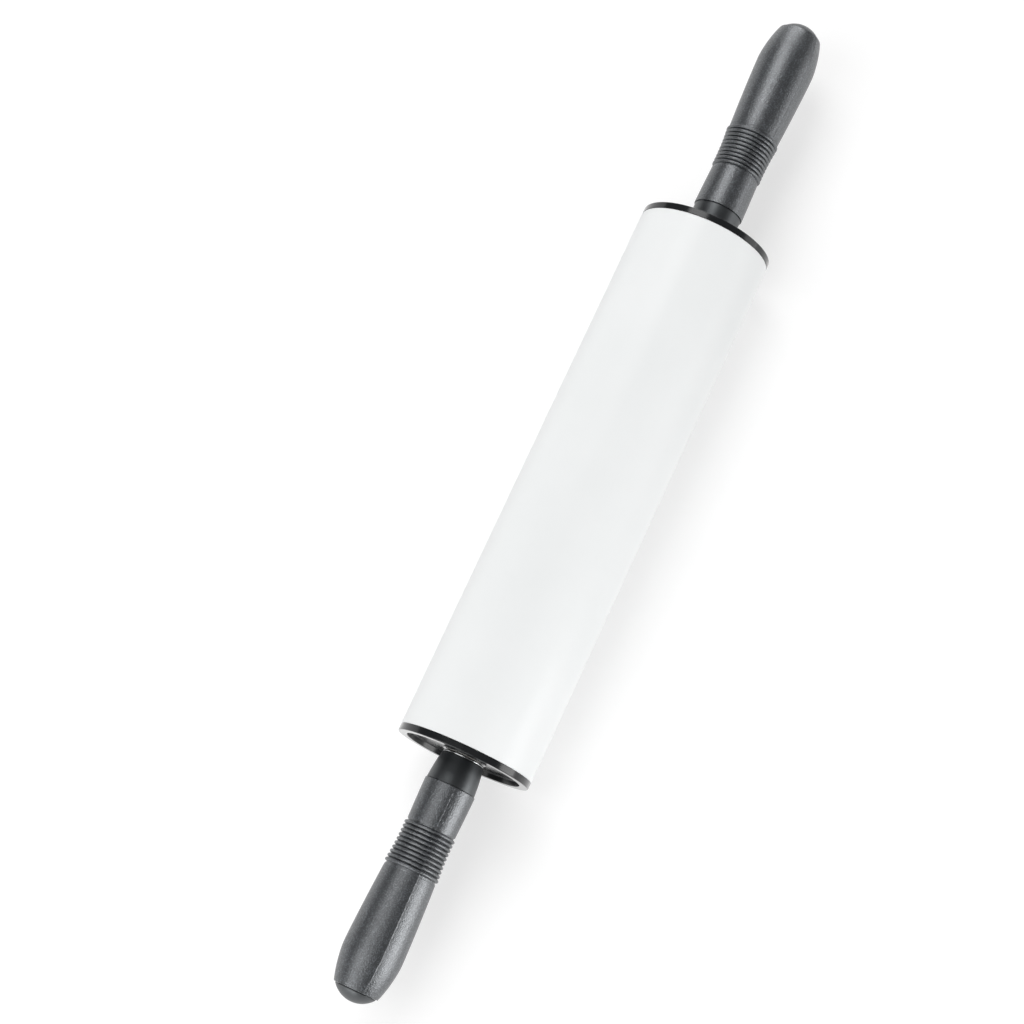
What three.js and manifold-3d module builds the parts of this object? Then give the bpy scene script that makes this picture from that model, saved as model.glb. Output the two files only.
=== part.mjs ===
// Non-stick rolling pin: a coated tube that turns on a fixed axle between two moulded handles.
// Millimetres. The axle lies along X, +Z is up, and the origin is the roller's centre on the axle.

import * as THREE from 'three';
import { mergeVertices } from 'three/addons/utils/BufferGeometryUtils.js';
import Module from 'manifold-3d';

const wasm = await Module();
wasm.setup();

// Roller tube
const tubeLength = 248.2;
const tubeDiameter = 60;
const tubeWall = 1.5;

// End caps
const rimThickness = 3;
const rimWidth = 4;
const rimBevel = 0.4;
const recessDepth = 2.4;
const recessDraft = 0.3;
const webThickness = 2.5;
const skirtLength = 16;
const skirtWall = 2.2;
const skirtLeadIn = 0.6;
const bossHeight = 0.9;
const bossWall = 1.8;
const hubWall = 2.3;
const hubOverhang = 0.6;
const capRibCount = 6;
const capRibThickness = 2;
const capRibDepth = 10;
const capRibRoot = 0.5;

// Bushes
const bushLength = 18;
const bushWall = 1.9;
const bushFlangeWidth = 2;
const bushFlangeThickness = 1.2;
const bushProud = 0.2;

// Axle
const axleDiameter = 8;
const threadDiameter = 6;
const threadSpare = 2;
const axleChamfer = 0.6;

// Thrust washers
const thrustWasherDiameter = 18.4;
const thrustWasherThickness = 0.8;

// Handle cores
const collarLength = 12.65;
const collarBaseDiameter = 18.8;
const collarMiddleDiameter = 20.7;
const collarEndDiameter = 21.8;
const collarEdge = 0.5;
const coreDiameter = 15;
const coreEndWall = 6;
const keyCount = 4;
const keyWidth = 2.4;
const keyHeight = 0.8;
const keyLength = 60;
const keyRoot = 0.6;

// Grips
const gripLength = 91.8;
const gripStartDiameter = 22.65;
const gripWaistDiameter = 21.8;
const ribCount = 10;
const ribPitch = 1.925;
const ribCrestWidth = 0.3;
const ribDepth = 0.8;
const firstRibPlace = 20.4;
const slimmestRib = 2;
const slimmestRibDiameter = 22.8;
const lastRibDiameter = 24.4;
const neckDiameter = 23.2;
const neckRun = 8;
const neckRise = 0.54;
const bulbDiameter = 26.2;
const bulbFromEnd = 16.7;
const bulbFrontRun = 7;
const bulbBackRun = 4;
const gripEndDiameter = 19.9;
const gripEndRun = 5.4;
const gripEndRise = 2;

// Nuts and the washers under them
const flatWasherDiameter = 12;
const flatWasherThickness = 1.6;
const springWasherDiameter = 11.8;
const springWasherThickness = 1.6;
const springWasherSplit = 0.9;
const springWasherSplitAngle = THREE.MathUtils.degToRad(25);
const nutAcrossFlats = 10;
const nutThickness = 5;
const nutChamfer = 0.5;

// End plugs
const plugDiameter = 18.8;
const plugHeight = 4.8;
const plugCrownThickness = 1.8;
const plugSpigotLength = 5.5;
const plugSpigotWall = 1.5;

// Fits and clearances: radial for round fits, along the axle for faces
const runningFit = 0.1;
const pushFit = 0.15;
const boltFit = 0.2;
const seatGap = 0.05;
const endPlay = 0.3;
const seamGap = 0.1;
const plugToAxle = 1.5;

// Flats round a turned piece, and steps along a curved stretch of its outline
const rollerSides = 48;
const handleSides = 24;
const nutSides = 6;
const curveSteps = 6;
const cutMargin = 1;

// Places along the axle, from the roller's centre towards the right end
const tubeEnd = tubeLength / 2;
const capSeat = tubeEnd + seatGap;
const rimFace = capSeat + rimThickness;
const bushFace = rimFace - recessDepth + bossHeight + bushProud;
const thrustSeat = bushFace + endPlay;
const collarSeat = thrustSeat + thrustWasherThickness + seatGap;
const gripSeat = collarSeat + collarLength + seamGap;
const gripEnd = gripSeat + gripLength;
const plugSeat = gripEnd + seatGap;
const axleEnd = plugSeat - plugSpigotLength - plugToAxle;
const nutSeat = axleEnd - threadSpare - nutThickness;
const springWasherSeat = nutSeat - seatGap - springWasherThickness;
const flatWasherSeat = springWasherSeat - seatGap - flatWasherThickness;
const coreEnd = flatWasherSeat - seatGap;
const axleShoulder = coreEnd - coreEndWall - seatGap;

// Radii that two pieces share
const tubeRadius = tubeDiameter / 2;
const tubeBore = tubeRadius - tubeWall;
const axleRadius = axleDiameter / 2;
const threadRadius = threadDiameter / 2;
const bushRadius = axleRadius + runningFit + bushWall;
const bushFlangeRadius = bushRadius + bushFlangeWidth;
const coreRadius = coreDiameter / 2;
const gripBore = coreRadius + pushFit;

// Finishes
const paint = (color, roughness, metalness) => new THREE.MeshStandardMaterial({ color, roughness, metalness });
const whiteCoating = () => paint(0xe9eceb, 0.32, 0.1);
const glossBlack = () => paint(0x0d0f10, 0.16, 0);
const satinBlack = () => paint(0x1c1e20, 0.42, 0);
const charcoalGrip = () => paint(0x2c2f32, 0.52, 0);
const brightSteel = () => paint(0xb9bcbf, 0.28, 1);
const naturalNylon = () => paint(0xdcd8cb, 0.5, 0);

// A three.js geometry as a solid that can be joined and cut.
function solidFrom(geometry) {
  geometry.deleteAttribute('normal');
  geometry.deleteAttribute('uv');
  const welded = mergeVertices(geometry);
  const corners = welded.index.array;
  const triangles = [];
  for (let i = 0; i < corners.length; i += 3) {
    const [a, b, c] = corners.slice(i, i + 3);
    const isFlat = a === b || b === c || c === a;
    if (!isFlat) triangles.push(a, b, c);
  }
  const mesh = new wasm.Mesh({
    numProp: 3,
    vertProperties: new Float32Array(welded.attributes.position.array),
    triVerts: new Uint32Array(triangles),
  });
  return new wasm.Manifold(mesh);
}

function geometryFrom(solid) {
  const mesh = solid.getMesh();
  const geometry = new THREE.BufferGeometry();
  geometry.setAttribute('position', new THREE.BufferAttribute(mesh.vertProperties, mesh.numProp));
  geometry.setIndex(new THREE.BufferAttribute(mesh.triVerts, 1));
  geometry.computeVertexNormals();
  return geometry;
}

// A solid turned about X from an outline of [x, radius] points, outer face first and towards +X.
// An outline that leaves the axis open is closed on itself, which leaves a bore. One flat faces +Z.
function turned(outline, sides) {
  const points = outline.map(([x, radius]) => new THREE.Vector2(radius, x));
  if (points[0].x > 0) points.push(points[0].clone());
  const geometry = new THREE.LatheGeometry(points, sides, Math.PI / sides, 2 * Math.PI);
  geometry.rotateZ(-Math.PI / 2);
  return solidFrom(geometry);
}

function ring(start, end, outerRadius, innerRadius, sides) {
  return turned([[start, outerRadius], [end, outerRadius], [end, innerRadius], [start, innerRadius]], sides);
}

function rod(start, end, radius, sides) {
  return turned([[start, 0], [start, radius], [end, radius], [end, 0]], sides);
}

// Equal bars round the axle, each from one radius to another, the first one towards +Z.
function barsAround(count, start, end, width, innerRadius, outerRadius) {
  const bars = [];
  for (let i = 0; i < count; i++) {
    const bar = new THREE.BoxGeometry(end - start, width, outerRadius - innerRadius);
    bar.translate((start + end) / 2, 0, (innerRadius + outerRadius) / 2);
    bar.rotateX(i * 2 * Math.PI / count);
    bars.push(solidFrom(bar));
  }
  return bars;
}

function piece(name, solid, material, x) {
  const mesh = new THREE.Mesh(geometryFrom(solid), material);
  mesh.name = name;
  mesh.position.x = x;
  return mesh;
}

// Thin-walled tube, centred on the origin.
function rollerTube() {
  return ring(-tubeEnd, tubeEnd, tubeRadius, tubeBore, rollerSides);
}

// Moulded cap. Its seat against the tube's end is at x = 0, and its rim faces +X.
function endCap() {
  const skirtRadius = tubeBore - pushFit;
  const skirtInner = skirtRadius - skirtWall;
  const recessRadius = tubeRadius - rimWidth;
  const recessFloor = rimThickness - recessDepth;
  const webInside = recessFloor - webThickness;
  const bossFace = recessFloor + bossHeight;
  const pocketRadius = bushFlangeRadius + pushFit;
  const pocketFloor = bossFace + bushProud - bushFlangeThickness - seatGap;
  const hubBore = bushRadius + pushFit;
  const hubRadius = hubBore + hubWall;
  const hubEnd = bossFace + bushProud - bushLength - hubOverhang;
  const body = turned([
    [-skirtLength, skirtInner],
    [-skirtLength, skirtRadius - skirtLeadIn],
    [-skirtLength + skirtLeadIn, skirtRadius],
    [0, skirtRadius],
    [0, tubeRadius],
    [rimThickness - rimBevel, tubeRadius],
    [rimThickness, tubeRadius - rimBevel],
    [rimThickness, recessRadius],
    [recessFloor, recessRadius - recessDraft],
    [recessFloor, pocketRadius + bossWall],
    [bossFace, pocketRadius + bossWall],
    [bossFace, pocketRadius],
    [pocketFloor, pocketRadius],
    [pocketFloor, hubBore],
    [hubEnd, hubBore],
    [hubEnd, hubRadius],
    [webInside, hubRadius],
    [webInside, skirtInner],
  ], rollerSides);
  const ribs = barsAround(
    capRibCount,
    webInside - capRibDepth,
    webInside + capRibRoot,
    capRibThickness,
    hubRadius - capRibRoot,
    skirtInner + capRibRoot,
  );
  return ribs.reduce((cap, rib) => cap.add(rib), body);
}

// Flanged bush. Its running face is at x = 0, and its body lies towards -X.
function bush() {
  const bore = axleRadius + runningFit;
  return turned([
    [-bushLength, bushRadius],
    [-bushFlangeThickness, bushRadius],
    [-bushFlangeThickness, bushFlangeRadius],
    [0, bushFlangeRadius],
    [0, bore],
    [-bushLength, bore],
  ], handleSides);
}

// Stepped rod, centred on the origin. The shoulder at each end stops the handle core.
function axleRod() {
  const rightHalf = [
    [axleShoulder, axleRadius],
    [axleShoulder, threadRadius],
    [axleEnd - axleChamfer, threadRadius],
    [axleEnd, threadRadius - axleChamfer],
    [axleEnd, 0],
  ];
  const leftHalf = rightHalf.map(([x, radius]) => [-x, radius]).reverse();
  return turned([...leftHalf, ...rightHalf], handleSides);
}

function thrustWasher() {
  return ring(0, thrustWasherThickness, thrustWasherDiameter / 2, axleRadius + boltFit, handleSides);
}

// Collar and inner tube in one moulding. The collar's base is at x = 0.
function handleCore() {
  const baseRadius = collarBaseDiameter / 2;
  const endRadius = collarEndDiameter / 2;
  const swell = collarMiddleDiameter - (baseRadius + endRadius) / 2;
  const side = new THREE.Path();
  side.moveTo(collarEdge, baseRadius);
  side.quadraticCurveTo(collarLength / 2, swell, collarLength, endRadius);
  const sidePoints = side.getPoints(curveSteps).map(({ x, y }) => [x, y]);
  const tubeEndFace = coreEnd - collarSeat;
  const endWallInside = tubeEndFace - coreEndWall;
  const axleBore = axleRadius + boltFit;
  const threadBore = threadRadius + boltFit;
  const body = turned([
    [0, baseRadius - collarEdge],
    ...sidePoints,
    [collarLength, coreRadius],
    [tubeEndFace, coreRadius],
    [tubeEndFace, threadBore],
    [endWallInside, threadBore],
    [endWallInside, axleBore],
    [0, axleBore],
  ], handleSides);
  const keys = barsAround(
    keyCount,
    collarLength - keyRoot,
    collarLength + keyLength,
    keyWidth,
    coreRadius - keyRoot,
    coreRadius + keyHeight,
  );
  return keys.reduce((core, key) => core.add(key), body);
}

// Outer line of the grip from its front face at x = 0: taper, ribs, bulb and rounded end.
function gripOutline() {
  const bandStart = firstRibPlace - ribPitch / 2;
  const bandEnd = bandStart + ribCount * ribPitch;
  const bulbPlace = gripLength - bulbFromEnd;
  const neckRadius = neckDiameter / 2;
  const bulbRadius = bulbDiameter / 2;
  const endRadius = gripEndDiameter / 2;
  const line = new THREE.Path();
  line.moveTo(0, gripStartDiameter / 2);
  line.lineTo(bandStart - ribPitch / 2, gripWaistDiameter / 2);
  for (let i = 0; i < ribCount; i++) {
    const share = (i - slimmestRib) / (ribCount - 1 - slimmestRib);
    const crest = THREE.MathUtils.lerp(slimmestRibDiameter, lastRibDiameter, share ** 2) / 2;
    const middle = firstRibPlace + i * ribPitch;
    line.lineTo(middle - ribPitch / 2, crest - ribDepth);
    line.lineTo(middle - ribCrestWidth / 2, crest);
    line.lineTo(middle + ribCrestWidth / 2, crest);
  }
  line.lineTo(bandEnd, lastRibDiameter / 2 - ribDepth);
  line.lineTo(bandEnd + ribPitch / 2, neckRadius);
  line.bezierCurveTo(
    bandEnd + ribPitch / 2 + neckRun, neckRadius + neckRise,
    bulbPlace - bulbFrontRun, bulbRadius,
    bulbPlace, bulbRadius,
  );
  line.bezierCurveTo(
    bulbPlace + bulbBackRun, bulbRadius,
    gripLength - gripEndRun, endRadius + gripEndRise,
    gripLength, endRadius,
  );
  return line.getPoints(curveSteps).map(({ x, y }) => [x, y]);
}

// Sleeve that slides over the core, with ways in its bore for the core's keys.
function grip() {
  const sleeve = turned([...gripOutline(), [gripLength, gripBore], [0, gripBore]], handleSides);
  const keyways = barsAround(
    keyCount,
    -cutMargin,
    keyLength - seamGap + pushFit,
    keyWidth + 2 * pushFit,
    coreRadius - keyRoot,
    coreRadius + keyHeight + pushFit,
  );
  return keyways.reduce((part, keyway) => part.subtract(keyway), sleeve);
}

function flatWasher() {
  return ring(0, flatWasherThickness, flatWasherDiameter / 2, threadRadius + boltFit, handleSides);
}

// Split washer, drawn flat as it lies when the nut is tight. The split slants across the ring.
function springWasher() {
  const innerRadius = threadRadius + boltFit;
  const outerRadius = springWasherDiameter / 2;
  const body = ring(0, springWasherThickness, outerRadius, innerRadius, handleSides);
  const width = outerRadius - innerRadius + 2 * cutMargin;
  const split = new THREE.BoxGeometry(3 * springWasherThickness, springWasherSplit, width);
  split.rotateZ(springWasherSplitAngle);
  split.translate(springWasherThickness / 2, 0, (innerRadius + outerRadius) / 2);
  return body.subtract(solidFrom(split));
}

// Hexagon nut with chamfered corners. Its seat is at x = 0.
function axleNut() {
  const cornerRadius = nutAcrossFlats / 2 / Math.cos(Math.PI / nutSides);
  const faceRadius = nutAcrossFlats / 2;
  const hexagon = rod(0, nutThickness, cornerRadius, nutSides);
  const corners = turned([
    [0, 0],
    [0, faceRadius],
    [nutChamfer, cornerRadius + nutChamfer],
    [nutThickness - nutChamfer, cornerRadius + nutChamfer],
    [nutThickness, faceRadius],
    [nutThickness, 0],
  ], handleSides);
  const thread = rod(-cutMargin, nutThickness + cutMargin, threadRadius + pushFit, handleSides);
  return hexagon.intersect(corners).subtract(thread);
}

// Domed plug with a hollow spigot. Its seat on the grip's end face is at x = 0.
function endPlug() {
  const baseRadius = plugDiameter / 2;
  const domeRadius = (baseRadius ** 2 + plugHeight ** 2) / (2 * plugHeight);
  const domeAngle = Math.asin(baseRadius / domeRadius);
  const spigotRadius = gripBore - pushFit;
  const spigotInner = spigotRadius - plugSpigotWall;
  const hollowEnd = plugHeight - plugCrownThickness;
  const dome = new THREE.Path();
  dome.absarc(plugHeight - domeRadius, 0, domeRadius, domeAngle, 0, true);
  const domePoints = dome.getPoints(curveSteps / 2).map(({ x, y }) => [x, y]);
  domePoints.pop();
  return turned([
    [hollowEnd, 0],
    [hollowEnd, spigotInner / 2],
    [0, spigotInner],
    [-plugSpigotLength, spigotInner],
    [-plugSpigotLength, spigotRadius],
    [0, spigotRadius],
    ...domePoints,
    [plugHeight, 0],
  ], handleSides);
}

// Everything at one end of the pin, built for the right end. The left end is the same, turned half round.
function pinEnd(side) {
  const end = new THREE.Group();
  end.add(
    piece(`end_cap_${side}`, endCap(), glossBlack(), capSeat),
    piece(`bush_${side}`, bush(), naturalNylon(), bushFace),
    piece(`thrust_washer_${side}`, thrustWasher(), brightSteel(), thrustSeat),
    piece(`handle_core_${side}`, handleCore(), satinBlack(), collarSeat),
    piece(`grip_${side}`, grip(), charcoalGrip(), gripSeat),
    piece(`flat_washer_${side}`, flatWasher(), brightSteel(), flatWasherSeat),
    piece(`spring_washer_${side}`, springWasher(), brightSteel(), springWasherSeat),
    piece(`axle_nut_${side}`, axleNut(), brightSteel(), nutSeat),
    piece(`end_plug_${side}`, endPlug(), satinBlack(), plugSeat),
  );
  return end;
}

const rightEnd = pinEnd('right');
const leftEnd = pinEnd('left');
leftEnd.rotation.z = Math.PI;

const rollingPin = new THREE.Group();
rollingPin.add(
  piece('roller_tube', rollerTube(), whiteCoating(), 0),
  piece('axle_rod', axleRod(), brightSteel(), 0),
  rightEnd,
  leftEnd,
);

export default rollingPin;
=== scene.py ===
# %% [markdown]
# # A non-stick rolling pin, dressed for a studio photograph
# The frame is a working model of the pin: a coated tube with two caps that spins on a steel axle,
# and a handle at each end. It is made of flat facets. This lesson gives every piece that shows a
# smooth surface worked out with numpy, and every piece a finish made of shader nodes.

# %% Load the frame
import math

import bpy
import numpy as np
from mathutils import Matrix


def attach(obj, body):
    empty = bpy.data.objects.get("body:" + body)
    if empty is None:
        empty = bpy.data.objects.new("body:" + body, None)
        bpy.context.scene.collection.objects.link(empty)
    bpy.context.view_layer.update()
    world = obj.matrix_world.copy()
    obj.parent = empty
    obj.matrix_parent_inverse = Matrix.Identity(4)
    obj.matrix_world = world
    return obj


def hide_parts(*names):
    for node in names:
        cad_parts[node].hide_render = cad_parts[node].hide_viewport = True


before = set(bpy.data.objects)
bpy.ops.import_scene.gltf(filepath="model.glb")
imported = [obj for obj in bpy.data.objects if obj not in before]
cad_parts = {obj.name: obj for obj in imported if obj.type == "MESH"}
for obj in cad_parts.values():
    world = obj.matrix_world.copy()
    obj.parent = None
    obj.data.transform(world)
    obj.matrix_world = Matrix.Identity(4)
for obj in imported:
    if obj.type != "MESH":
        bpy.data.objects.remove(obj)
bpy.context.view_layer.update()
MM = 0.001

# %% [markdown]
# ## Camera
# The picture is taken from almost straight above, with a long lens and from the side of the left
# handle, so that the left cap shows its face and the right cap only its edge. The camera could be
# placed by hand, but four plain values say the same: where it looks, from which compass
# direction, how high and from how far.

# %% Place the camera
VIEW_AZIMUTH = math.radians(-65.3)
VIEW_ELEVATION = math.radians(77.1)
VIEW_DISTANCE = 1039.4 * MM
VIEW_TARGET = np.array([-21.5, 25.9, 0.0]) * MM
LENS_LENGTH = 85.1
SENSOR_WIDTH = 36.0

towards_camera = np.array([
    math.sin(VIEW_AZIMUTH) * math.cos(VIEW_ELEVATION),
    -math.cos(VIEW_AZIMUTH) * math.cos(VIEW_ELEVATION),
    math.sin(VIEW_ELEVATION),
])
camera_data = bpy.data.cameras.new("studio_camera")
camera_data.lens = LENS_LENGTH
camera_data.sensor_width = SENSOR_WIDTH
camera = bpy.data.objects.new("studio_camera", camera_data)
camera.location = VIEW_TARGET + VIEW_DISTANCE * towards_camera
camera.rotation_euler = (math.pi / 2 - VIEW_ELEVATION, 0.0, VIEW_AZIMUTH)
bpy.context.scene.collection.objects.link(camera)
bpy.context.scene.camera = camera
print("camera at, mm:", np.round(np.array(camera.location) / MM, 1))

# %% [markdown]
# ## Turned shapes
# Nearly every piece of a rolling pin is round: it is turned on a lathe or comes out of a round
# mould. Blender's Spin or Screw tools would make such shapes from a drawn line. Here the line is
# an array of points and the whole surface is one formula, so rounded corners, ribs and mould
# lines can be added to it as numbers. Sizes are in millimetres, as on a drawing, and MM turns
# them into metres. The roundings of corners have names, from a keen edge to the lead-in of a part
# that is pushed in.

# %% Outline with rounded corners
KEEN = 0.1
CRISP = 0.12
FINE = 0.15
SLIGHT = 0.2
EASED = 0.25
SOFT = 0.3
FILLET = 0.4
LEAD_IN = 0.6
CORNER_STEPS = 6
CORNER_SUPPORT = 0.06
SAME_POINT = 1e-6
ANY_ANGLE = math.pi / 4


def rounded_outline(corners):
    """Outline of a turned piece, x and radius in metres, from rows of x, radius, rounding in mm.

    From a corner the two sides leave along the unit directions a and b, with an angle between
    them. An arc of size f touches each side at f / tan(half the angle) from the corner. Its
    centre lies on the bisector, f / sin(half the angle) away, and its two end spokes are blended
    evenly by angle to give the points between. One more point just past each end of the arc keeps
    the flats beside it flat when they are shaded. A rounding of 0 keeps the corner as one point,
    whatever its angle.
    """
    corners = np.array(corners, float)
    spot, size = corners[:, :2], corners[:, 2:]
    before = np.roll(spot, 1, axis=0) - spot
    after = np.roll(spot, -1, axis=0) - spot
    before /= np.linalg.norm(before, axis=1, keepdims=True)
    after /= np.linalg.norm(after, axis=1, keepdims=True)
    half = np.arccos(np.clip((before * after).sum(1, keepdims=True), -1, 1)) / 2
    half = np.where(size > 0, half, ANY_ANGLE)
    reach = size / np.tan(half)
    bisector = before + after
    bisector /= np.maximum(np.linalg.norm(bisector, axis=1, keepdims=True), SAME_POINT)
    centre = spot + bisector * size / np.sin(half)
    sweep = (math.pi - 2 * half)[:, None]
    share = np.linspace(0, 1, CORNER_STEPS + 1)[None, :, None]
    first = (spot + before * reach - centre)[:, None]
    last = (spot + after * reach - centre)[:, None]
    spokes = np.sin((1 - share) * sweep) * first + np.sin(share * sweep) * last
    arc = centre[:, None] + spokes / np.sin(sweep)
    lead = (spot + before * (reach + CORNER_SUPPORT))[:, None]
    tail = (spot + after * (reach + CORNER_SUPPORT))[:, None]
    rounded = np.concatenate([lead, arc, tail], axis=1)
    points = np.where(size[:, None] > 0, rounded, spot[:, None]).reshape(-1, 2)
    step = np.linalg.norm(np.diff(points, axis=0, prepend=points[-1:] + 1), axis=1)
    return points[step > SAME_POINT] * MM


# %% Surface of revolution
def turned_points(outline, angles, extra_radius=0.0, extra_x=0.0):
    """Grid of points of a turned surface: a row for each outline point, a column for each angle.

    The point at angle t is (x, -r sin t, r cos t), so t is 0 on top and grows towards -Y.
    extra_radius and extra_x are grids, or shares of one, that change r and x from place to place.
    """
    x = outline[:, :1] + extra_x + 0 * angles
    radius = outline[:, 1:] + extra_radius + 0 * angles
    return np.stack([x, -radius * np.sin(angles), radius * np.cos(angles)], axis=-1)


def ring_faces(rows, columns):
    """Quads of a closed ring: each joins two neighbouring rows and columns, and both run round."""
    row, column = np.meshgrid(np.arange(rows), np.arange(columns), indexing="ij")
    next_row, next_column = (row + 1) % rows, (column + 1) % columns
    corners = [(row, column), (row, next_column), (next_row, next_column), (next_row, column)]
    return np.stack([r * columns + c for r, c in corners], axis=-1).reshape(-1, 4)


def half_turn(points):
    """The same points at the left end: half a turn about Z takes (x, y, z) to (-x, -y, z)."""
    return points * np.array([-1.0, -1.0, 1.0])


# %% [markdown]
# ## From points to a piece
# A piece is an object with a mesh, a finish and a body of the frame that it rides on. The mesh
# data keeps its place, and the object itself stays at the origin, so patterns in the finish stay
# put. Most pieces come in pairs, so the right one is worked out and half a turn of it gives the
# left one.

# %% Make a piece
SIDES = ("left", "right")


def add_piece(name, points, faces, finish, body, stands_for):
    """A smooth mesh of points and faces that rides on a body and stands for a node of the frame."""
    mesh = bpy.data.meshes.new(name)
    mesh.from_pydata(points.reshape(-1, 3).tolist(), [], [f.tolist() for f in faces])
    mesh.polygons.foreach_set("use_smooth", np.ones(len(mesh.polygons), bool))
    mesh.materials.append(finish)
    mesh.update()
    piece = bpy.data.objects.new(name, mesh)
    bpy.context.scene.collection.objects.link(piece)
    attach(piece, body)
    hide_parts(stands_for)
    counts = f"{len(mesh.vertices)} points, {len(mesh.polygons)} faces"
    print(f"{name}: {counts}, stands for {stands_for}")


def add_pair(name, points, faces, finish, body, stands_for):
    """Adds the piece at the right end from its points, and the left one as their half turn."""
    for side, placed in zip(SIDES, (half_turn(points), points)):
        add_piece(f"{name}_{side}", placed, faces, finish, body, f"{stands_for}_{side}")


def turned_size(node):
    """Start and end along the axle and largest radius of a node of the frame, in mm."""
    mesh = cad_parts[node].data
    points = np.empty(3 * len(mesh.vertices), np.float32)
    mesh.vertices.foreach_get("co", points)
    x, y, z = points.reshape(-1, 3).T / MM
    return float(x.min()), float(x.max()), float(np.hypot(y, z).max())


# %% [markdown]
# ## Shader helpers
# A finish is a small graph of nodes round the Principled shader. Patterns read Object
# coordinates, which here are the pin's own metres, so a noise scale of 1000 has features about a
# millimetre wide.

# %% Node helpers
def new_finish(name):
    """A node material, with its node tree, its Principled shader and its Object coordinates."""
    material = bpy.data.materials.new(name)
    material.use_nodes = True
    tree = material.node_tree
    where = tree.nodes.new("ShaderNodeTexCoord").outputs["Object"]
    return material, tree, tree.nodes["Principled BSDF"], where


def noise(tree, where, scale, detail=2.0):
    """Noise with features about 1/scale metres across, with finer ones added as detail grows."""
    texture = tree.nodes.new("ShaderNodeTexNoise")
    texture.inputs["Scale"].default_value = scale
    texture.inputs["Detail"].default_value = detail
    tree.links.new(where, texture.inputs["Vector"])
    return texture.outputs["Fac"]


def spread(tree, pattern, low=0.0, high=1.0, start=0.3, end=0.7):
    """Maps a pattern's range from start to end onto low to high, and holds it level outside.

    Noise seldom leaves the middle of its range, so start and end lie there unless they are given.
    """
    node = tree.nodes.new("ShaderNodeMapRange")
    node.inputs["From Min"].default_value = start
    node.inputs["From Max"].default_value = end
    node.inputs["To Min"].default_value = low
    node.inputs["To Max"].default_value = high
    tree.links.new(pattern, node.inputs["Value"])
    return node.outputs["Result"]


def two_tone(tree, pattern, dark, light):
    """A colour that runs from dark to light as the pattern runs from 0 to 1."""
    node = tree.nodes.new("ShaderNodeMix")
    node.data_type = "RGBA"
    node.inputs["A"].default_value = (*dark, 1.0)
    node.inputs["B"].default_value = (*light, 1.0)
    tree.links.new(pattern, node.inputs["Factor"])
    return node.outputs["Result"]


def bump(tree, pattern, depth, below=None):
    """Raises the surface by depth metres where the pattern is 1, on top of any bump below."""
    node = tree.nodes.new("ShaderNodeBump")
    node.inputs["Distance"].default_value = depth
    tree.links.new(pattern, node.inputs["Height"])
    if below is not None:
        tree.links.new(below, node.inputs["Normal"])
    return node.outputs["Normal"]


def wire(tree, shader, tone, gloss, relief):
    """Links a colour, a roughness and a relief to their sockets on the shader."""
    tree.links.new(tone, shader.inputs["Base Color"])
    tree.links.new(gloss, shader.inputs["Roughness"])
    tree.links.new(relief, shader.inputs["Normal"])


def report_finish(finish):
    """Prints the name of a finish and how many nodes it is made of."""
    print(f"{finish.name}: {len(finish.node_tree.nodes)} nodes")


# %% [markdown]
# ## The coated roller
# The roller is a drawn metal tube with a sprayed and baked white non-stick coating. Sprayed
# coatings dry with a faint orange-peel ripple about a millimetre or two wide, and their gloss is
# not quite even. Both are far too shallow to model, so they are bump and roughness.

# %% White coating
def white_coating():
    """Sprayed white: clouds of tone and gloss, an orange-peel ripple and a finer mist on it."""
    material, tree, shader, where = new_finish("white_coating")
    cloud = spread(tree, noise(tree, where, scale=22.0, detail=3.0))
    tone = two_tone(tree, cloud, dark=(0.85, 0.866, 0.866), light=(0.875, 0.888, 0.888))
    gloss = spread(tree, noise(tree, where, scale=90.0, detail=4.0), low=0.285, high=0.345)
    peel = bump(tree, noise(tree, where, scale=520.0, detail=1.0), depth=3e-6)
    mist = bump(tree, noise(tree, where, scale=6000.0), depth=0.6e-6, below=peel)
    wire(tree, shader, tone, gloss, mist)
    shader.inputs["IOR"].default_value = 1.35
    shader.inputs["Specular IOR Level"].default_value = 0.4
    return material


WHITE = white_coating()
report_finish(WHITE)

# %% Coated tube
TUBE_WALL = 1.5
TUBE_EDGE = 0.35
ROLLER_COLUMNS = 192

tube_start, tube_end, roller_radius = turned_size("roller_tube")
round_angles = np.arange(ROLLER_COLUMNS) * 2 * math.pi / ROLLER_COLUMNS
tube_outline = rounded_outline([
    [tube_start, roller_radius, TUBE_EDGE],
    [tube_end, roller_radius, TUBE_EDGE],
    [tube_end, roller_radius - TUBE_WALL, TUBE_EDGE],
    [tube_start, roller_radius - TUBE_WALL, TUBE_EDGE],
])
tube_points = turned_points(tube_outline, round_angles)
tube_faces = ring_faces(len(tube_outline), ROLLER_COLUMNS)
add_piece("coated_tube", tube_points, tube_faces, WHITE, "roller", "roller_tube")

# %% [markdown]
# ## The glossy end caps
# Each cap is one black moulding: a flat polished rim, a shallow recess with a boss for the bush,
# and, inside the tube, a skirt, a hub and six stiffening ribs. The outline gives everything that
# is round. The ribs are cut into the same grid: columns gather at each rib's two sides, and where
# a point of the inner wall lies inside a rib it moves inwards along the axle. That keeps the cap
# one closed surface.

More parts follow.
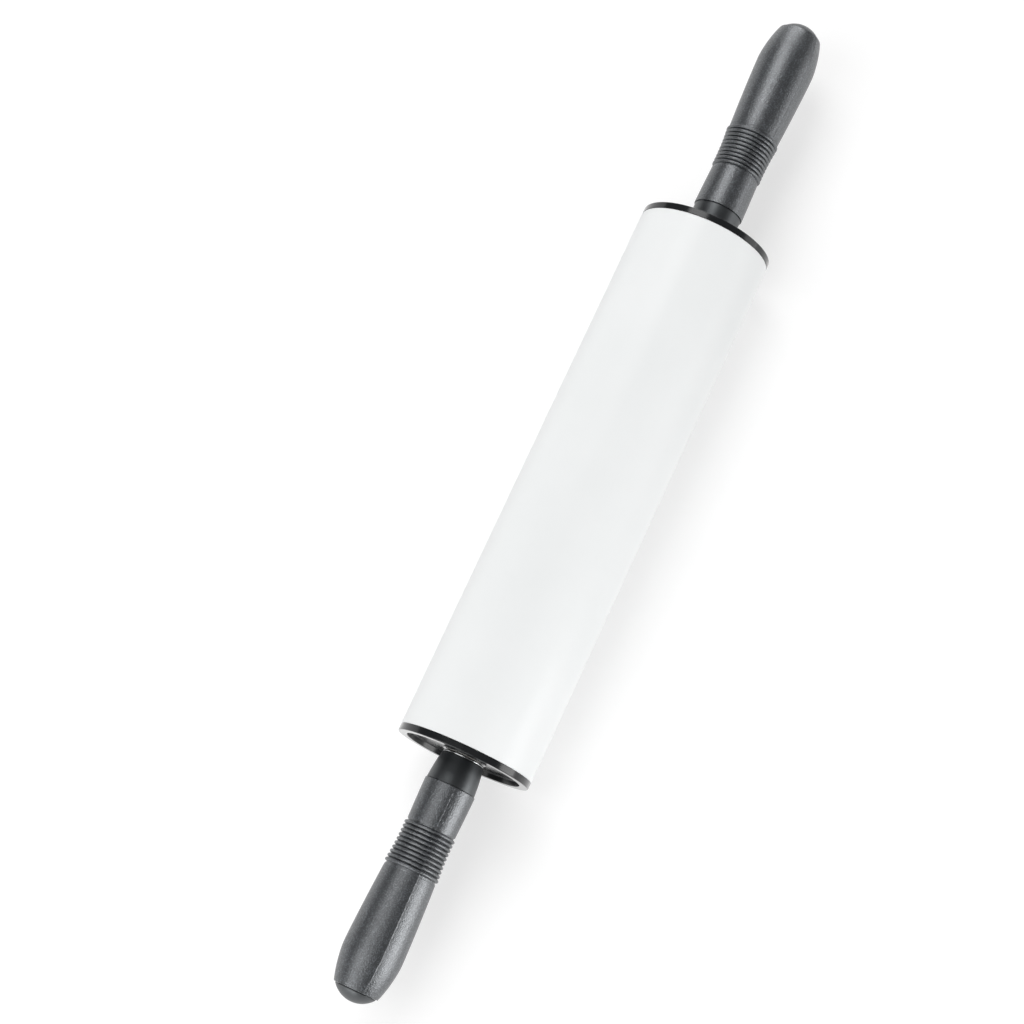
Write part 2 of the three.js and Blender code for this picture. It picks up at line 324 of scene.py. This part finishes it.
# %% Polished black plastic
def polished_black():
    """Glossy black with a clear skin: smudges dull it, and ripples bend what it mirrors."""
    material, tree, shader, where = new_finish("polished_black")
    smudge = noise(tree, where, scale=140.0, detail=5.0)
    shade = spread(tree, smudge)
    tone = two_tone(tree, shade, dark=(0.007, 0.008, 0.009), light=(0.011, 0.012, 0.013))
    gloss = spread(tree, smudge, low=0.15, high=0.22)
    flow = bump(tree, noise(tree, where, scale=260.0, detail=1.0), depth=4e-6)
    marks = bump(tree, noise(tree, where, scale=5200.0, detail=3.0), depth=0.5e-6, below=flow)
    wire(tree, shader, tone, gloss, marks)
    shader.inputs["IOR"].default_value = 1.28
    shader.inputs["Coat Weight"].default_value = 1.0
    shader.inputs["Coat Roughness"].default_value = 0.16
    shader.inputs["Coat IOR"].default_value = 1.28
    return material


POLISHED_BLACK = polished_black()
report_finish(POLISHED_BLACK)

# %% End caps
RIM_WIDTH = 4.0
RIM_EDGE = 0.45
RECESS_DEPTH = 2.4
RECESS_DRAFT = 0.3
WEB_THICKNESS = 2.5
SKIRT_LENGTH = 16.0
SKIRT_WALL = 2.2
PUSH_FIT = 0.15
SEAT_GAP = 0.05
BOSS_HEIGHT = 0.9
BOSS_WALL = 1.8
POCKET_DEPTH = 1.05
HUB_WALL = 2.3
BUSH_FLANGE_STEP = 2.0
CAP_RIBS = 6
CAP_RIB_THICKNESS = 2.0
CAP_RIB_DEPTH = 10.0
COLUMNS_IN_RIB = 7
COLUMNS_BETWEEN = 27
WEB_REACH = 0.5
TOUCH = 0.01

hub_end, rim_face, _ = turned_size("end_cap_right")
_, _, bush_flange_radius = turned_size("bush_right")
bush_radius = bush_flange_radius - BUSH_FLANGE_STEP
cap_seat = tube_end + SEAT_GAP
skirt_radius = roller_radius - TUBE_WALL - PUSH_FIT
skirt_inner = skirt_radius - SKIRT_WALL
recess_radius = roller_radius - RIM_WIDTH
recess_floor = rim_face - RECESS_DEPTH
boss_face = recess_floor + BOSS_HEIGHT
pocket_radius = bush_flange_radius + PUSH_FIT
hub_bore = bush_radius + PUSH_FIT
hub_radius = hub_bore + HUB_WALL
web_inside = recess_floor - WEB_THICKNESS
cap_outline = rounded_outline([
    [cap_seat - SKIRT_LENGTH, skirt_inner, SOFT],
    [cap_seat - SKIRT_LENGTH, skirt_radius, LEAD_IN],
    [cap_seat, skirt_radius, FINE],
    [cap_seat, roller_radius, CRISP],
    [rim_face, roller_radius, RIM_EDGE],
    [rim_face, recess_radius, SOFT],
    [recess_floor, recess_radius - RECESS_DRAFT, FILLET],
    [recess_floor, pocket_radius + BOSS_WALL, SOFT],
    [boss_face, pocket_radius + BOSS_WALL, EASED],
    [boss_face, pocket_radius, CRISP],
    [boss_face - POCKET_DEPTH, pocket_radius, CRISP],
    [boss_face - POCKET_DEPTH, hub_bore, FINE],
    [hub_end, hub_bore, SLIGHT],
    [hub_end, hub_radius, SOFT],
    [web_inside, hub_radius, FILLET],
    [web_inside, skirt_inner, FILLET],
])


def ribbed_columns(radius):
    """Angles of the cap's columns at each radius, and which columns lie in a rib.

    A rib of even thickness takes up the angle w = arcsin(half its thickness / radius) on each
    side. The columns run evenly from -w to w in a rib, and evenly from there to the next rib.
    """
    pitch = 2 * math.pi / CAP_RIBS
    w = np.arcsin(CAP_RIB_THICKNESS / 2 * MM / np.maximum(radius, hub_bore * MM))[:, None]
    inside = np.linspace(-1, 1, COLUMNS_IN_RIB)
    between = np.linspace(0, 1, COLUMNS_BETWEEN + 2)[1:-1]
    sector = np.hstack([inside * w, w + between * (pitch - 2 * w)])
    turns = np.repeat(np.arange(CAP_RIBS) * pitch, sector.shape[1])
    in_rib = np.tile(np.arange(sector.shape[1]) < COLUMNS_IN_RIB, CAP_RIBS)
    return np.tile(sector, CAP_RIBS) + turns, in_rib


cap_angles, in_rib = ribbed_columns(cap_outline[:, 1])
cap_x, cap_r = cap_outline.T / MM
at_web = np.abs(cap_x - web_inside) < WEB_REACH
on_web = at_web & (cap_r > hub_radius - TOUCH) & (cap_r < skirt_inner + TOUCH)
rib_shift = -CAP_RIB_DEPTH * MM * on_web[:, None] * in_rib
cap_points = turned_points(cap_outline, cap_angles, extra_x=rib_shift)
cap_faces = ring_faces(*cap_angles.shape)
add_pair("glossy_cap", cap_points, cap_faces, POLISHED_BLACK, "roller", "end_cap")

# %% [markdown]
# ## The bright thrust washers
# Between each hub and collar a thin steel washer takes the rub. Only its rolled edge shows, as a
# bright line. The steel is turned, so its fine marks run round the axle: the pattern is noise
# that reads only the place along the axle and the distance from it.

# %% Turned steel
def turned_steel():
    """Bright steel: x and the distance from the axle, the root of y^2 + z^2, place its marks."""
    material, tree, shader, where = new_finish("turned_steel")
    parts = tree.nodes.new("ShaderNodeSeparateXYZ")
    tree.links.new(where, parts.inputs["Vector"])
    across = tree.nodes.new("ShaderNodeCombineXYZ")
    tree.links.new(parts.outputs["Y"], across.inputs["X"])
    tree.links.new(parts.outputs["Z"], across.inputs["Y"])
    distance = tree.nodes.new("ShaderNodeVectorMath")
    distance.operation = "LENGTH"
    tree.links.new(across.outputs["Vector"], distance.inputs[0])
    lathe = tree.nodes.new("ShaderNodeCombineXYZ")
    tree.links.new(parts.outputs["X"], lathe.inputs["X"])
    tree.links.new(distance.outputs["Value"], lathe.inputs["Y"])
    marks = noise(tree, lathe.outputs["Vector"], scale=9000.0, detail=3.0)
    cloud = spread(tree, noise(tree, where, scale=180.0, detail=3.0))
    tone = two_tone(tree, cloud, dark=(0.52, 0.53, 0.54), light=(0.68, 0.69, 0.7))
    gloss = spread(tree, marks, low=0.14, high=0.26)
    wire(tree, shader, tone, gloss, bump(tree, marks, depth=2e-6))
    shader.inputs["Metallic"].default_value = 1.0
    return material


TURNED_STEEL = turned_steel()
report_finish(TURNED_STEEL)

# %% Thrust washers
WASHER_EDGE = 0.32
AXLE_CLEARANCE = 0.2
SMALL_COLUMNS = 128

washer_start, washer_end, washer_radius = turned_size("thrust_washer_right")
_, _, axle_radius = turned_size("axle_rod")
axle_bore = axle_radius + AXLE_CLEARANCE
small_angles = np.arange(SMALL_COLUMNS) * 2 * math.pi / SMALL_COLUMNS
washer_outline = rounded_outline([
    [washer_start, washer_radius, WASHER_EDGE],
    [washer_end, washer_radius, WASHER_EDGE],
    [washer_end, axle_bore, FINE],
    [washer_start, axle_bore, FINE],
])
washer_points = turned_points(washer_outline, small_angles)
washer_faces = ring_faces(len(washer_outline), SMALL_COLUMNS)
add_pair(
    "bright_washer", washer_points, washer_faces, TURNED_STEEL,
    "handle_set", "thrust_washer",
)

# %% [markdown]
# ## The collars and the tubes behind them
# A smooth black collar leads from the cap to the grip. It is one moulding with the inner tube
# that carries the grip, on which four keys stop the grip from turning. The keys are part of the
# same grid: columns crowd at their sides, and between those the radius is larger by the key's
# height.

# %% Satin black plastic
def satin_black():
    """Smooth black with a soft sheen: a cloud moves tone and gloss, a fine texture breaks it."""
    material, tree, shader, where = new_finish("satin_black")
    cloud = noise(tree, where, scale=160.0, detail=4.0)
    shade = spread(tree, cloud)
    tone = two_tone(tree, shade, dark=(0.005, 0.006, 0.007), light=(0.008, 0.009, 0.0105))
    gloss = spread(tree, cloud, low=0.36, high=0.44)
    texture = bump(tree, noise(tree, where, scale=3800.0, detail=3.0), depth=3e-6)
    wire(tree, shader, tone, gloss, texture)
    shader.inputs["IOR"].default_value = 1.55
    shader.inputs["Specular IOR Level"].default_value = 0.95
    shader.inputs["Specular Tint"].default_value = (0.92, 0.97, 1.0, 1.0)
    return material


SATIN_BLACK = satin_black()
report_finish(SATIN_BLACK)

# %% Key columns
KEY_WIDTH = 2.4
KEY_HEIGHT = 0.8
KEY_LENGTH = 60.0
KEY_SIDE = 0.02
KEYS = 4
HANDLE_COLUMNS = 144


def key_angles(width, radius):
    """Angles just outside and just inside the two sides of each key or keyway.

    A side stands at arcsin(half the width / radius) from the key's middle, and the slack lies
    beyond it.
    """
    side = math.asin(width / 2 / radius)
    slack = KEY_SIDE / radius
    edges = np.array([-side - slack, -side, side, side + slack])
    return (np.arange(KEYS)[:, None] * 2 * math.pi / KEYS + edges).ravel() % (2 * math.pi)


def in_key(angles, width, radius):
    """Which angles lie in a key or keyway: those within its half angle of a whole quarter turn."""
    quarter = 2 * math.pi / KEYS
    offset = np.abs((angles + quarter / 2) % quarter - quarter / 2)
    return offset < math.asin(width / 2 / radius) + KEY_SIDE / 2 / radius


even_angles = np.arange(HANDLE_COLUMNS) * 2 * math.pi / HANDLE_COLUMNS
print(f"{HANDLE_COLUMNS} even columns round a handle, and four more at each of {KEYS} keys")

# %% Collars with their inner tubes
COLLAR_LENGTH = 12.65
COLLAR_BASE = 9.4
COLLAR_MIDDLE = 10.35
COLLAR_END = 10.9
COLLAR_ROWS = 16
CORE_RADIUS = 7.5
CORE_END_WALL = 6.0
THREAD_BORE = 3.2
KEY_ROOT = 0.25

collar_start, core_end, _ = turned_size("handle_core_right")
collar_end = collar_start + COLLAR_LENGTH
key_end = collar_end + KEY_LENGTH


def swelling(start, middle, end, rows):
    """Parabola through three radii: at the start, middle and end of a stretch of length 1."""
    s = np.linspace(0, 1, rows)
    return start * (1 - s) * (1 - 2 * s) + middle * 4 * s * (1 - s) + end * s * (2 * s - 1)


def plain(x, radius):
    """Outline rows of x and radius without rounding."""
    return np.stack([x, radius, np.zeros_like(x)], axis=1)


collar_side = plain(
    np.linspace(collar_start, collar_end, COLLAR_ROWS),
    swelling(COLLAR_BASE, COLLAR_MIDDLE, COLLAR_END, COLLAR_ROWS),
)
core_outline = rounded_outline(np.vstack([
    [[collar_start, COLLAR_BASE, SOFT]],
    collar_side[1:-1],
    [[collar_end, COLLAR_END, FINE]],
    [[collar_end, CORE_RADIUS, SLIGHT]],
    [[key_end, CORE_RADIUS, 0]],
    [[key_end + KEY_SIDE, CORE_RADIUS, 0]],
    [[core_end, CORE_RADIUS, FILLET]],
    [[core_end, THREAD_BORE, SLIGHT]],
    [[core_end - CORE_END_WALL, THREAD_BORE, KEEN]],
    [[core_end - CORE_END_WALL, axle_bore, KEEN]],
    [[collar_start, axle_bore, SOFT]],
]))
core_angles = np.unique(np.concatenate([even_angles, key_angles(KEY_WIDTH, CORE_RADIUS)]))
core_x, core_r = core_outline.T / MM
at_key = (core_x > collar_end - TOUCH) & (core_x < key_end + KEY_SIDE / 2)
on_tube = at_key & (np.abs(core_r - CORE_RADIUS) < KEY_ROOT)
key_rise = KEY_HEIGHT * MM * on_tube[:, None] * in_key(core_angles, KEY_WIDTH, CORE_RADIUS)
core_points = turned_points(core_outline, core_angles, extra_radius=key_rise)
core_faces = ring_faces(len(core_outline), len(core_angles))
add_pair(
    "collar_core", core_points, core_faces, SATIN_BLACK,
    "handle_set", "handle_core",
)

# %% [markdown]
# ## The ribbed grips
# The grips are dark charcoal mouldings with a spark-eroded grain. Ten fine ribs stand where the
# thumb lies, and the back swells into a long bulb. A two-part mould leaves its mark along the
# grip: a hair-fine raised line where the halves met, and a slight crease, because neither half is
# a full half circle. Ribs, line and crease catch the light as shapes, so they are shapes. The
# line on a real grip is never quite straight or even, so it wanders a little, and its ridge rises
# and falls. The grain is one noise that drives bump, roughness and colour together: its pits are
# near black and dull, and its tops get painted glints, pale colour that stands in for sparkle.

# %% Grained charcoal plastic
def grained_charcoal():
    """Charcoal with a spark-eroded grain, whose tops carry painted glints and shine a little more.
    """
    material, tree, shader, where = new_finish("grained_charcoal")
    grain = noise(tree, where, scale=1700.0, detail=2.0)
    # painted glints: pale colour on the grain's tops stands in for sparkle of light on them
    painted_glints = spread(tree, grain, start=0.49, end=0.67)
    tone = two_tone(tree, painted_glints, dark=(0.001, 0.002, 0.003), light=(0.083, 0.09, 0.1))
    gloss = spread(tree, grain, low=0.38, high=0.28)
    wire(tree, shader, tone, gloss, bump(tree, grain, depth=160e-6))
    shader.inputs["IOR"].default_value = 1.7
    shader.inputs["Specular IOR Level"].default_value = 1.0
    shader.inputs["Specular Tint"].default_value = (0.94, 0.97, 1.0, 1.0)
    return material


GRAINED_CHARCOAL = grained_charcoal()
report_finish(GRAINED_CHARCOAL)

# %% Grip outline
GRIP_FRONT = 11.325
GRIP_WAIST = 10.9
FRONT_BEND = 1.35
FRONT_ROWS = 40
RIBS = 10
RIB_PITCH = 1.925
RIB_DEPTH = 1.35
RIB_FULLNESS = 0.97
RIB_SAMPLES = 20
FIRST_RIB = 20.4
SLIM_RIB = 2
SLIM_CREST = 11.4
LAST_CREST = 12.2
NECK = 11.6
NECK_RUN = 8.0
NECK_RISE = 0.54
BULB = 13.1
BULB_FROM_END = 16.7
BULB_FRONT_RUN = 7.0
BULB_BACK_RUN = 4.0
RISE_ROWS = 44
GRIP_END = 9.95
GRIP_END_RUN = 5.4
GRIP_END_RISE = 2.0
FALL_ROWS = 30
GRIP_BORE = CORE_RADIUS + PUSH_FIT

grip_start, grip_end, _ = turned_size("grip_right")


def bezier(start, start_pull, end_pull, end, count):
    """Cubic curve: a mix of four points with the weights (1-t)^3, 3t(1-t)^2, 3t^2(1-t), t^3."""
    t = np.linspace(0, 1, count)[:, None]
    weights = np.hstack([(1 - t) ** 3, 3 * t * (1 - t) ** 2, 3 * t ** 2 * (1 - t), t ** 3])
    return weights @ np.array([start, start_pull, end_pull, end])


def rib_band():
    """Ribs like laid cord: crest - depth * (1 - sqrt(1 - (f y)^2)) / (1 - sqrt(1 - f^2)).

    y runs from -1 to 1 across each rib, and f says how much of a half round it is. The crests
    follow a parabola that is slimmest at one rib and thickest at the last.
    """
    place = np.linspace(-0.5, RIBS - 0.5, RIBS * RIB_SAMPLES + 1)
    past_slim = (place - SLIM_RIB) / (RIBS - 1 - SLIM_RIB)
    crest = SLIM_CREST + (LAST_CREST - SLIM_CREST) * past_slim ** 2
    y = 2 * (place - np.round(place))
    full_drop = 1 - math.sqrt(1 - RIB_FULLNESS ** 2)
    drop = (1 - np.sqrt(1 - (RIB_FULLNESS * y) ** 2)) / full_drop
    return plain(grip_start + FIRST_RIB + place * RIB_PITCH, crest - RIB_DEPTH * drop)


ribs = rib_band()
band_start, band_end = ribs[0, 0], ribs[-1, 0]
waist_x, neck_x = band_start - RIB_PITCH / 2, band_end + RIB_PITCH / 2
bulb_x = grip_end - BULB_FROM_END
share = np.linspace(0, 1, FRONT_ROWS)
front = plain(
    grip_start + (waist_x - grip_start) * share,
    GRIP_FRONT + (GRIP_WAIST - GRIP_FRONT) * share ** FRONT_BEND,
)
rise = bezier(
    [neck_x, NECK], [neck_x + NECK_RUN, NECK + NECK_RISE],
    [bulb_x - BULB_FRONT_RUN, BULB], [bulb_x, BULB], RISE_ROWS,
)
fall = bezier(
    [bulb_x, BULB], [bulb_x + BULB_BACK_RUN, BULB],
    [grip_end - GRIP_END_RUN, GRIP_END + GRIP_END_RISE], [grip_end, GRIP_END], FALL_ROWS,
)
grip_outline = rounded_outline(np.vstack([
    [[grip_start, GRIP_FRONT, EASED]],
    front[1:],
    ribs,
    plain(*rise.T),
    plain(*fall[1:-1].T),
    [[grip_end, GRIP_END, SLIGHT]],
    [[grip_end, GRIP_BORE, FINE]],
    [[key_end + PUSH_FIT + KEY_SIDE, GRIP_BORE, 0]],
    [[key_end + PUSH_FIT, GRIP_BORE, 0]],
    [[grip_start, GRIP_BORE, FINE]],
]))
thickest = 2 * grip_outline[:, 1].max() / MM
print(f"grip outline: {len(grip_outline)} points, {thickest:.2f} mm at its thickest")

# %% Mould line
ROOF_FRONT = 0.12
ROOF_BULB = 0.27
ROOF_WIDTH = math.radians(30)
LINE_HEIGHT = 0.085
LINE_EVEN = 0.65
LINE_BREAKS = 2.3
LINE_HALF_WIDTH = math.radians(0.55)
LINE_WANDER = math.radians(0.5)
WANDER_PERIODS = (7.3, 3.9)


def mould_section(p, x, roof):
    """What the mould line adds to the radius: roof * (1 - |p| / w)^2 + ridge.

    p is the angle from the line, and w is the width of the roof. The roof makes the two halves
    meet at a slight edge. The ridge, height * exp(-(p / width)^2), is the hair of plastic that
    was pressed between them, and its height rises and falls as a sine of x.
    """
    flank = np.clip(1 - np.abs(p) / ROOF_WIDTH, 0, 1) ** 2
    wave = np.sin(2 * math.pi * x / LINE_BREAKS)
    height = LINE_HEIGHT * (LINE_EVEN + (1 - LINE_EVEN) * wave)
    return MM * (roof * flank + height * np.exp(-(p / LINE_HALF_WIDTH) ** 2))


def wander(x):
    """How far the mould line strays at x: the mean of a long and a short sine wave."""
    long_wave, short_wave = (np.sin(2 * math.pi * x / period) for period in WANDER_PERIODS)
    return LINE_WANDER * (long_wave + short_wave) / 2


print(f"mould line: {LINE_HEIGHT} mm high at most, strays {math.degrees(LINE_WANDER):.1f} degrees")

# %% Grips
LINE_COLUMNS = np.radians([0.25, 0.5, 0.8, 1.2, 1.8])
MOULD_LINE_FRONT = {"left": math.radians(-14.3), "right": math.radians(47.9)}
MOULD_LINE_BULB = {"left": math.radians(-22.8), "right": math.radians(47.9)}
KEYWAY_WIDTH = KEY_WIDTH + 2 * PUSH_FIT
KEYWAY_DEPTH = KEY_HEIGHT + PUSH_FIT
KEYWAY_ROOT = 0.2
OUTSIDE_FROM = 0.4
OUTSIDE_BLEND = 1.0
ANGLE_DIGITS = 6


def grip_points(line_front, line_bulb):
    """Grip surface: columns counted from the mould line, which shifts a little across the ribs.

    The shift is a smooth step, 3 s^2 - 2 s^3, along the rib band. Outside, the mould section is
    added to the radius; in the bore the columns stay straight, and the radius grows inside the
    keyways.
    """
    beside = np.concatenate([[0], LINE_COLUMNS, -LINE_COLUMNS])
    keys = key_angles(KEYWAY_WIDTH, GRIP_BORE) - line_front
    columns = np.concatenate([even_angles, beside, beside + math.pi, keys]) % (2 * math.pi)
    columns = np.unique(np.round(columns, ANGLE_DIGITS))
    x, radius = grip_outline.T[:, :, None] / MM
    outside = np.clip((radius - GRIP_BORE - OUTSIDE_FROM) / OUTSIDE_BLEND, 0, 1)
    s = np.clip((x - band_start) / (band_end - band_start), 0, 1)
    step = s * s * (3 - 2 * s)
    angles = columns + line_front + ((line_bulb - line_front) * step + wander(x)) * outside
    from_line = (columns + math.pi / 2) % math.pi - math.pi / 2
    roof = ROOF_FRONT + (ROOF_BULB - ROOF_FRONT) * step
    section = outside * mould_section(from_line, x, roof)
    in_bore = (radius < GRIP_BORE + KEYWAY_ROOT) & (x < key_end + PUSH_FIT + KEY_SIDE / 2)
    in_keyway = in_bore * in_key(columns + line_front, KEYWAY_WIDTH, GRIP_BORE)
    keyway = KEYWAY_DEPTH * MM * in_keyway
    return turned_points(grip_outline, angles, extra_radius=section + keyway)


for side in SIDES:
    points = grip_points(MOULD_LINE_FRONT[side], MOULD_LINE_BULB[side])
    faces = ring_faces(*points.shape[:2])
    points = half_turn(points) if side == "left" else points
    add_piece(
        f"ribbed_grip_{side}", points, faces, GRAINED_CHARCOAL,
        "handle_set", f"grip_{side}",
    )

# %% [markdown]
# ## The domed end plugs
# A smooth plug closes each grip. Its dome is a little smaller than the grip's end, which leaves a
# fine step and a dark seam. The dome is part of a sphere, its spigot is hollow, and the surface
# starts and ends on the axle, so its first and last rows are single points.

# %% Plug surface
PLUG_RADIUS = 9.4
PLUG_HEIGHT = 4.8
PLUG_CROWN = 1.8
PLUG_POLE = 0.4
SPIGOT_WALL = 1.5
DOME_ROWS = 28

spigot_end, plug_tip, _ = turned_size("end_plug_right")
plug_seat = plug_tip - PLUG_HEIGHT
spigot_radius = GRIP_BORE - PUSH_FIT
spigot_inner = spigot_radius - SPIGOT_WALL


def dome(base, height, seat, rows):
    """Arc of a sphere of radius (base^2 + height^2) / (2 height), from its base to its tip."""
    sphere = (base ** 2 + height ** 2) / (2 * height)
    angle = np.linspace(math.asin(base / sphere), 0, rows)
    centre = seat + height - sphere
    return np.stack([centre + sphere * np.cos(angle), sphere * np.sin(angle)], axis=1)


def capped_faces(rows, columns):
    """Faces of a surface that ends in two poles: fans at the poles, quads between the rows."""
    quads = ring_faces(rows, columns).reshape(rows, columns, 4)[:-1].reshape(-1, 4)
    column = np.arange(columns)
    neighbour = (column + 1) % columns
    last_row = (rows - 1) * columns
    first_pole = np.full(columns, rows * columns)
    first_fan = np.stack([first_pole, neighbour, column], axis=1)
    last_fan = np.stack([last_row + column, last_row + neighbour, first_pole + 1], axis=1)
    return [*quads, *first_fan, *last_fan]


plug_dome = dome(PLUG_RADIUS, PLUG_HEIGHT, plug_seat, DOME_ROWS)
plug_outline = rounded_outline(np.vstack([
    [[plug_tip - PLUG_CROWN, PLUG_POLE, 0]],
    [[plug_tip - PLUG_CROWN, spigot_inner / 2, LEAD_IN]],
    [[plug_seat, spigot_inner, SOFT]],
    [[spigot_end, spigot_inner, SLIGHT]],
    [[spigot_end, spigot_radius, SOFT]],
    [[plug_seat, spigot_radius, FINE]],
    [[plug_seat, PLUG_RADIUS, EASED]],
    plain(*plug_dome[1:-1].T),
]))
plug_grid = turned_points(plug_outline, small_angles)
plug_poles = np.array([[plug_tip - PLUG_CROWN, 0, 0], [plug_tip, 0, 0]]) * MM
plug_points = np.vstack([plug_grid.reshape(-1, 3), plug_poles])
plug_faces = capped_faces(len(plug_outline), SMALL_COLUMNS)
add_pair(
    "domed_plug", plug_points, plug_faces, SATIN_BLACK,
    "handle_set", "end_plug",
)

# %% [markdown]
# ## The pieces inside
# Axle, bushes, nuts and washers keep the frame's own shapes, because they are hidden in the
# roller and the grips. They still get their real finishes: turned steel, and natural nylon for
# the bushes.

# %% Natural nylon
def natural_nylon():
    """Undyed nylon: a cloud moves its off-white tone and gloss, over a fine moulded texture."""
    material, tree, shader, where = new_finish("natural_nylon")
    cloud = noise(tree, where, scale=240.0, detail=3.0)
    tone = two_tone(tree, spread(tree, cloud), dark=(0.58, 0.57, 0.54), light=(0.66, 0.65, 0.61))
    gloss = spread(tree, cloud, low=0.42, high=0.55)
    texture = bump(tree, noise(tree, where, scale=2600.0, detail=2.0), depth=4e-6)
    wire(tree, shader, tone, gloss, texture)
    return material


NATURAL_NYLON = natural_nylon()
report_finish(NATURAL_NYLON)

# %% Finishes inside
PAIRED_STEEL = ("flat_washer", "spring_washer", "axle_nut")
INNER_STEEL = ["axle_rod"] + [f"{name}_{side}" for name in PAIRED_STEEL for side in SIDES]
INNER_NYLON = [f"bush_{side}" for side in SIDES]

for finish, names in ((TURNED_STEEL, INNER_STEEL), (NATURAL_NYLON, INNER_NYLON)):
    for name in names:
        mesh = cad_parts[name].data
        mesh.materials.clear()
        mesh.materials.append(finish)
    print(finish.name, "on", ", ".join(names))

# %% [markdown]
# ## Floor, lights and surroundings
# The pin lies on a plain pale floor between six soft boxes. Two hang overhead to the left and
# draw the broad streak along each grip. A low one stands at each end and fills the roller evenly.
# Two low ones on the right draw the bright edge along the right of every piece. One big lamp
# would be simpler, but black plastic looks flat under it, because it shows little more than what
# it mirrors. For the same reason the world is dim. The white background is made in the floor's
# finish: what the camera and mirror-like surfaces see of the floor is lifted to white, which
# sheds no light.

# %% Floor
FLOOR_SIZE = 40.0
FLOOR_WHITE = (0.5, 0.5, 0.5)
FLOOR_ROUGHNESS = 0.9
FLOOR_LIFT = 0.55


def studio_floor():
    """Pale floor. What the camera, gloss and glass see of it is lifted to white by a glow."""
    material, tree, shader, _ = new_finish("studio_floor")
    shader.inputs["Base Color"].default_value = (*FLOOR_WHITE, 1.0)
    shader.inputs["Roughness"].default_value = FLOOR_ROUGHNESS
    shader.inputs["Specular IOR Level"].default_value = 0.0
    shader.inputs["Emission Color"].default_value = (1.0, 1.0, 1.0, 1.0)
    path = tree.nodes.new("ShaderNodeLightPath")
    seen = tree.nodes.new("ShaderNodeMath")
    seen.operation = "MAXIMUM"
    seen_or_passed = tree.nodes.new("ShaderNodeMath")
    seen_or_passed.operation = "MAXIMUM"
    tree.links.new(path.outputs["Is Camera Ray"], seen.inputs[0])
    tree.links.new(path.outputs["Is Glossy Ray"], seen.inputs[1])
    tree.links.new(seen.outputs["Value"], seen_or_passed.inputs[0])
    tree.links.new(path.outputs["Is Transmission Ray"], seen_or_passed.inputs[1])
    lift = spread(tree, seen_or_passed.outputs["Value"], high=FLOOR_LIFT, start=0.0, end=1.0)
    tree.links.new(lift, shader.inputs["Emission Strength"])
    return material


floor_corners = np.array([[-1, -1, 0], [1, -1, 0], [1, 1, 0], [-1, 1, 0]]) * FLOOR_SIZE / 2
floor_corners[:, 2] = -roller_radius * MM
floor_mesh = bpy.data.meshes.new("studio_floor")
floor_mesh.from_pydata(floor_corners.tolist(), [], [[0, 1, 2, 3]])
floor_mesh.materials.append(studio_floor())
floor = bpy.data.objects.new("studio_floor", floor_mesh)
bpy.context.scene.collection.objects.link(floor)
print("floor at", round(floor_corners[0, 2] / MM, 2), "mm")

# %% Soft boxes
def soft_box(name, place, target, width, length, power):
    """Rectangular area light at a place, facing a target: sizes in metres and power in watts.

    A lamp shines down its own -Z. The tilt turns that up from straight down towards the target,
    and the yaw turns it round the upright axis.
    """
    data = bpy.data.lights.new(name, "AREA")
    data.shape = "RECTANGLE"
    data.size, data.size_y = width, length
    data.energy = power
    light = bpy.data.objects.new(name, data)
    aim = np.array(target, float) - np.array(place, float)
    yaw = math.atan2(aim[1], aim[0])
    tilt = math.atan2(math.hypot(aim[0], aim[1]), -aim[2])
    light.location = place
    light.rotation_euler = (tilt, 0.0, yaw - math.pi / 2)
    bpy.context.scene.collection.objects.link(light)
    print(f"{name}: {power} W over {width} x {length} m")


soft_box(
    "overhead_far", place=(0.835, 0.66, 1.35), target=(0.835, 0.0, 0.0),
    width=0.83, length=0.86, power=9.9,
)
soft_box(
    "overhead_near", place=(-0.55, 0.70, 1.32), target=(-0.55, 0.0, 0.0),
    width=0.9, length=1.3, power=7.6,
)
soft_box(
    "near_fill", place=(-1.48, 0.42, 0.55), target=(0.0, 0.0, 0.0),
    width=1.4, length=1.1, power=15.0,
)
soft_box(
    "far_fill", place=(1.63, 0.42, 0.55), target=(0.0, 0.0, 0.0),
    width=1.2, length=0.9, power=11.0,
)
soft_box(
    "right_near", place=(-0.215, -0.5, 0.11), target=(-0.215, 0.0, 0.11),
    width=0.41, length=0.27, power=1.74,
)
soft_box(
    "right_far", place=(0.34, -0.5, 0.11), target=(0.34, 0.0, 0.11),
    width=0.53, length=0.27, power=0.82,
)

# %% World
HORIZON = 0.12
ZENITH = 0.2
ZENITH_FROM = 0.5

world = bpy.data.worlds.new("studio")
bpy.context.scene.world = world
world.use_nodes = True
sky = world.node_tree
direction = sky.nodes.new("ShaderNodeTexCoord").outputs["Generated"]
height = sky.nodes.new("ShaderNodeSeparateXYZ")
sky.links.new(direction, height.inputs["Vector"])
glow = spread(sky, height.outputs["Z"], low=HORIZON, high=ZENITH, start=0.0, end=ZENITH_FROM)
sky.links.new(glow, sky.nodes["Background"].inputs["Strength"])
sky.nodes["Background"].inputs["Color"].default_value = (1.0, 1.0, 1.0, 1.0)
bpy.context.scene.view_settings.view_transform = "Standard"
print("world from", HORIZON, "at the horizon to", ZENITH, "overhead")
